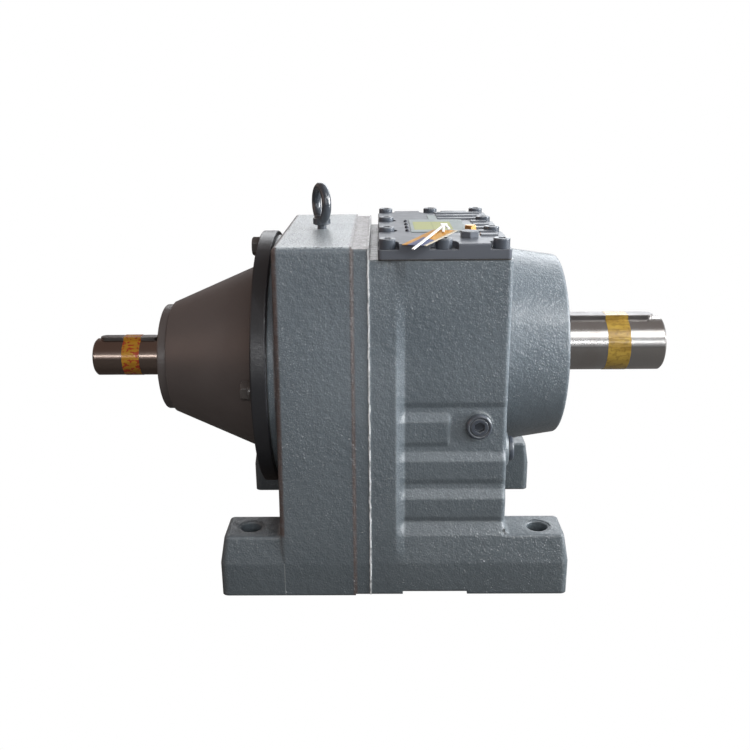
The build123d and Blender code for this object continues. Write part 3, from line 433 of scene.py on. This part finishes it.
def casting_paint(name):
    """Paint of the main casting, with painted shade darkening it towards the floor and fewer painted glints
    there.
    """
    full_light_z = 0.26
    glint_start_z = 0.05
    most_painted_shade = 0.55
    n = Nodes(name)
    x = n.part(n.coordinates, "X")
    z = n.part(n.coordinates, "Z")
    on_top = n.math("MULTIPLY", n.facing_up(), n.ramp(z, TOP_Z, TOP_Z + 4 * MM))
    tone = paint_tone(n, CASTING_DARK, CASTING_LIGHT, edge_radius=3.5 * MM)
    # Painted shade: the casting darkens towards the floor, where less light reaches.
    tone = n.mix(n.ramp(z, 0.0, full_light_z, most_painted_shade, 0.0), tone, LOW_PAINTED_SHADE)
    # Painted glints, fewer towards the floor.
    tone = glint_specks(n, tone, n.ramp(z, glint_start_z, full_light_z, 0.10, 0.34))
    # Painted reflection: the top faces are painted near-white with dark specks, as the bright sky mirrored
    # in the hammered gloss.
    top_reflection_mask = n.ramp(n.noise(TOP_REFLECTION_GRAIN, 3.0, 0.65), 0.36, 0.50)
    tone = n.mix(on_top, tone, n.mix(top_reflection_mask, TOP_REFLECTION_DARK, TOP_REFLECTION_LIGHT))
    tone = ground_strip(n, tone, x, on_top)
    # Painted shade and brown reflection at the left corner and beside the band.
    tone = brown_reflection_edges(n, tone, x, z)
    low = n.ramp(z, FOOT_CREASE_Z, FOOT_CREASE_Z + 2 * MM, 0.4, 0.0)
    seam = n.math("MULTIPLY", n.within(x, *FOOT_SEAM_X, HAIR), low)
    tone = n.mix(seam, tone, PALE)
    return paint_skin(n, mould_line(n, tone, x), roughness=0.36, bump_mm=1.15)


def cover_paint(name):
    """Paint of the input cover: brownish on the cone from a painted brown reflection, nearly black on the
    flange as painted shade.
    """
    n = Nodes(name)
    flange = n.ramp(n.part(n.coordinates, "X"), FLANGE_LEFT_X, FLANGE_LEFT_X + MM)
    cone = paint_tone(n, CONE_DARK_WITH_REFLECTION, CONE_LIGHT_WITH_REFLECTION)
    # Painted shade makes the flange nearly black; the cone's brown is painted reflection.
    return paint_skin(n, n.mix(flange, cone, FLANGE_PAINTED_SHADE), roughness=0.40, bump_mm=0.22, coat=0.2)


OIL_STAIN = (0.30, 0.22, 0.18)
SHAFT_STAIN = (0.27, 0.21, 0.18)
CLEAN_STEEL = (0.44, 0.43, 0.42)
BROWN_STEEL = (0.29, 0.23, 0.20)
INPUT_END_FADE_X = (-0.26, -0.24)


def steel(name, base, roughness):
    """Turned steel under an oil film with faint stains."""
    spread = 0.03
    stain_strength = 0.35
    n = Nodes(name)
    patches = n.math("MULTIPLY", n.ramp(n.noise(PATCHES, 4.0), *UPPER_HALF), stain_strength)
    rough = n.ramp(n.noise(SMUDGES, 3.0), *WIDE_HALF, roughness - spread, roughness + spread)
    return n.finish(Base_Color=n.mix(patches, base, OIL_STAIN), Metallic=1.0, Roughness=rough)


def shaft_steel(name):
    """The two shafts: clean on the output end, browner on the input end."""
    stain_strength = 0.3
    n = Nodes(name)
    towards_input = n.ramp(n.part(n.coordinates, "X"), *INPUT_END_FADE_X, 1.0, 0.0)
    patches = n.math("MULTIPLY", n.ramp(n.noise(PATCHES, 4.0), *UPPER_HALF), stain_strength)
    tone = n.mix(patches, n.mix(towards_input, CLEAN_STEEL, BROWN_STEEL), SHAFT_STAIN)
    drawn = n.noise(1.0, 3.0, vector=n.stretched(3.0, 260.0, 260.0))
    rough = n.ramp(drawn, *WIDE_HALF, 0.17, 0.27)
    return n.finish(Base_Color=tone, Metallic=1.0, Roughness=rough)


def plain(name, dark, light, roughness, metallic=0.0):
    """One finish with a faint cloud in its colour and gloss, and a fine grain."""
    spread = 0.05
    n = Nodes(name)
    rounded = n.soften(0.6 * MM)
    tone = n.mix(n.ramp(n.noise(SMUDGES, 4.0), *SOFT_HALF), dark, light)
    rough = n.ramp(n.noise(GLOSS_PATCHES, 3.0), *WIDE_HALF, roughness - spread, roughness + spread)
    grain = n.bump(n.noise(METAL_GRAIN, 2.0), 0.02 * MM, below=rounded)
    return n.finish(Base_Color=tone, Roughness=rough, Metallic=metallic, Normal=grain)


PLATE_FIELD_X = (0.023, 0.064)
PLATE_FIELD_Y = (-0.040, 0.022)
PLATE_ROW = 4.5 * MM
PLATE_COLUMN = 10.2 * MM
PLATE_RULE = (0.4 * MM, 0.9 * MM)
PLATE_PRINT = (0.36, 0.38, 0.16)
PLATE_LINES = (0.20, 0.24, 0.13)
PLATE_DARK = (0.25, 0.29, 0.29)
PLATE_LIGHT = (0.30, 0.34, 0.34)


def data_plate(name):
    """Dull metal plate with one printed field; the field holds plain ruled boxes only."""
    rule_strength = 0.4
    n = Nodes(name)
    x = n.part(n.coordinates, "X")
    y = n.part(n.coordinates, "Y")
    field = n.math("MULTIPLY", n.within(x, *PLATE_FIELD_X, HAIR), n.within(y, *PLATE_FIELD_Y, HAIR))
    row = n.ramp(n.math("PINGPONG", y, PLATE_ROW), *PLATE_RULE, 1.0, 0.0)
    from_left = n.math("SUBTRACT", x, PLATE_FIELD_X[0])
    column = n.ramp(n.math("PINGPONG", from_left, PLATE_COLUMN), *PLATE_RULE, 1.0, 0.0)
    rules = n.math("MULTIPLY", n.math("MAXIMUM", row, column), rule_strength)
    print_tone = n.mix(rules, PLATE_PRINT, PLATE_LINES)
    plate_tone = n.mix(n.ramp(n.noise(PLATE_CLOUDS, 4.0), *SOFT_HALF), PLATE_DARK, PLATE_LIGHT)
    return n.finish(Base_Color=n.mix(field, plate_tone, print_tone), Roughness=0.55, Specular_IOR_Level=0.15)


CARD_CORNER = (0.0302, -0.1425)
CARD_LONG_SIDE = (0.701, 0.685)
CARD_FOOT_END = (12.5 * MM, 13.5 * MM)
CARD_FOOT_ACROSS = (-15.5 * MM, 10 * MM)
CARD_BORDER = (-2.2 * MM, -1.6 * MM)
CARD_ORANGE = (0.57, 0.26, 0.040)
CARD_PALE_ORANGE = (0.62, 0.34, 0.085)
CARD_BLUE = (0.13, 0.15, 0.27)
CARD_CREAM = (0.60, 0.54, 0.42)


def printed_card(name):
    """Card tag: orange with a blue foot and a pale border on its near edge."""
    n = Nodes(name)
    x = n.math("SUBTRACT", n.part(n.coordinates, "X"), CARD_CORNER[0])
    y = n.math("SUBTRACT", n.part(n.coordinates, "Y"), CARD_CORNER[1])
    run_x, run_y = CARD_LONG_SIDE
    along = n.math("ADD", n.math("MULTIPLY", x, run_x), n.math("MULTIPLY", y, run_y))
    across = n.math("SUBTRACT", n.math("MULTIPLY", x, run_y), n.math("MULTIPLY", y, run_x))
    foot = n.math(
        "MULTIPLY",
        n.ramp(along, *CARD_FOOT_END, 1.0, 0.0),
        n.within(across, *CARD_FOOT_ACROSS, 2 * HAIR),
    )
    tone = n.mix(n.ramp(n.noise(CARD_CLOUDS, 3.0), *SOFT_HALF), CARD_ORANGE, CARD_PALE_ORANGE)
    tone = n.mix(foot, tone, CARD_BLUE)
    tone = n.mix(n.ramp(across, *CARD_BORDER), tone, CARD_CREAM)
    return n.finish(Base_Color=tone, Roughness=0.5, Coat_Weight=0.2)


def tape(name, light, deep, block_color, block_amount):
    """Glossy adhesive tape round a shaft: creases along the axis, and plain printed blocks."""
    n = Nodes(name)
    creases = n.noise(1.0, 4.0, vector=n.stretched(60.0, 420.0, 420.0))
    slow = n.ramp(n.noise(1.0, 3.0, vector=n.stretched(30.0, 90.0, 90.0)), *SOFT_HALF)
    patch = n.ramp(n.noise(1.0, 1.0, vector=n.stretched(230.0, 330.0, 330.0)), 0.54, 0.57)
    tone = n.mix(n.math("MULTIPLY", patch, block_amount), n.mix(slow, light, deep), block_color)
    return n.finish(
        Base_Color=tone,
        Roughness=0.25,
        Metallic=0.15,
        Coat_Weight=0.35,
        Coat_Roughness=0.06,
        Normal=n.bump(creases, 0.5 * MM),
    )


def slot(build, **values):
    """A finish to build later: its function, and what that takes besides the name."""
    return build, values


MATERIALS = {
    "casting_paint": slot(casting_paint),
    "cover_paint": slot(cover_paint),
    "lid_paint": slot(
        machine_paint, dark=(0.105, 0.115, 0.135), light=(0.120, 0.131, 0.152),
        roughness=0.36, bump_mm=0.03, coat=0.18, gloss=0.10),
    "black_screw_steel": slot(
        machine_paint, dark=(0.050, 0.060, 0.078), light=(0.075, 0.088, 0.108),
        roughness=0.34, bump_mm=0.08, coat=0.4),
    "painted_bolts": slot(
        machine_paint, dark=(0.050, 0.045, 0.042), light=(0.075, 0.068, 0.064),
        roughness=0.34, bump_mm=0.1, coat=0.4),
    "eye_bolt_steel": slot(
        machine_paint, dark=(0.030, 0.036, 0.045), light=(0.060, 0.072, 0.088),
        roughness=0.28, bump_mm=0.2),
    "brass": slot(plain, dark=(0.58, 0.30, 0.10), light=(0.72, 0.40, 0.16), roughness=0.30, metallic=1.0),
    "gasket_paper": slot(plain, dark=(0.035, 0.035, 0.035), light=(0.06, 0.055, 0.05), roughness=0.85),
    "copper_washer": slot(plain, dark=(0.055, 0.060, 0.064), light=(0.085, 0.090, 0.095), roughness=0.45),
    "name_plate_metal": slot(data_plate),
    "pin_steel": slot(plain, dark=(0.05, 0.05, 0.06), light=(0.09, 0.10, 0.11), roughness=0.4, metallic=0.9),
    "tag_card": slot(printed_card),
    "tie_plastic": slot(plain, dark=(0.85, 0.85, 0.83), light=(0.92, 0.92, 0.90), roughness=0.3),
    "seal_rubber": slot(plain, dark=(0.012, 0.010, 0.010), light=(0.03, 0.025, 0.022), roughness=0.55),
    "ground_shaft_steel": slot(shaft_steel),
    "key_steel": slot(
        plain, dark=(0.15, 0.14, 0.14), light=(0.22, 0.21, 0.205), roughness=0.36, metallic=1.0),
    "yellow_tape": slot(
        tape, light=(0.50, 0.25, 0.018), deep=(0.37, 0.165, 0.012),
        block_color=(0.36, 0.030, 0.012), block_amount=0.9),
    "gold_tape": slot(
        tape, light=(0.46, 0.30, 0.050), deep=(0.28, 0.165, 0.025),
        block_color=(0.13, 0.075, 0.018), block_amount=0.35),
    "gear_steel": slot(steel, base=(0.42, 0.42, 0.43), roughness=0.32),
    "spacer_steel": slot(steel, base=(0.45, 0.45, 0.46), roughness=0.30),
    "bearing_steel": slot(steel, base=(0.65, 0.65, 0.66), roughness=0.16),
    "cage_and_ball_steel": slot(
        plain, dark=(0.60, 0.60, 0.60), light=(0.68, 0.68, 0.67), roughness=0.18, metallic=1.0),
}


def dress_nodes():
    """Give each CAD node the finish of its material slot in the record."""
    made = {name: build(name, **values) for name, (build, values) in MATERIALS.items()}
    for entry in frame["record"]["subparts"]:
        node = frame["nodes"][entry["node"]]
        node.data.materials.clear()
        node.data.materials.append(made[entry["material_slot"]])


bpy.context.scene.view_settings.view_transform = "Standard"
make_camera()
make_world()
make_floor()
make_lights()
dress_nodes()
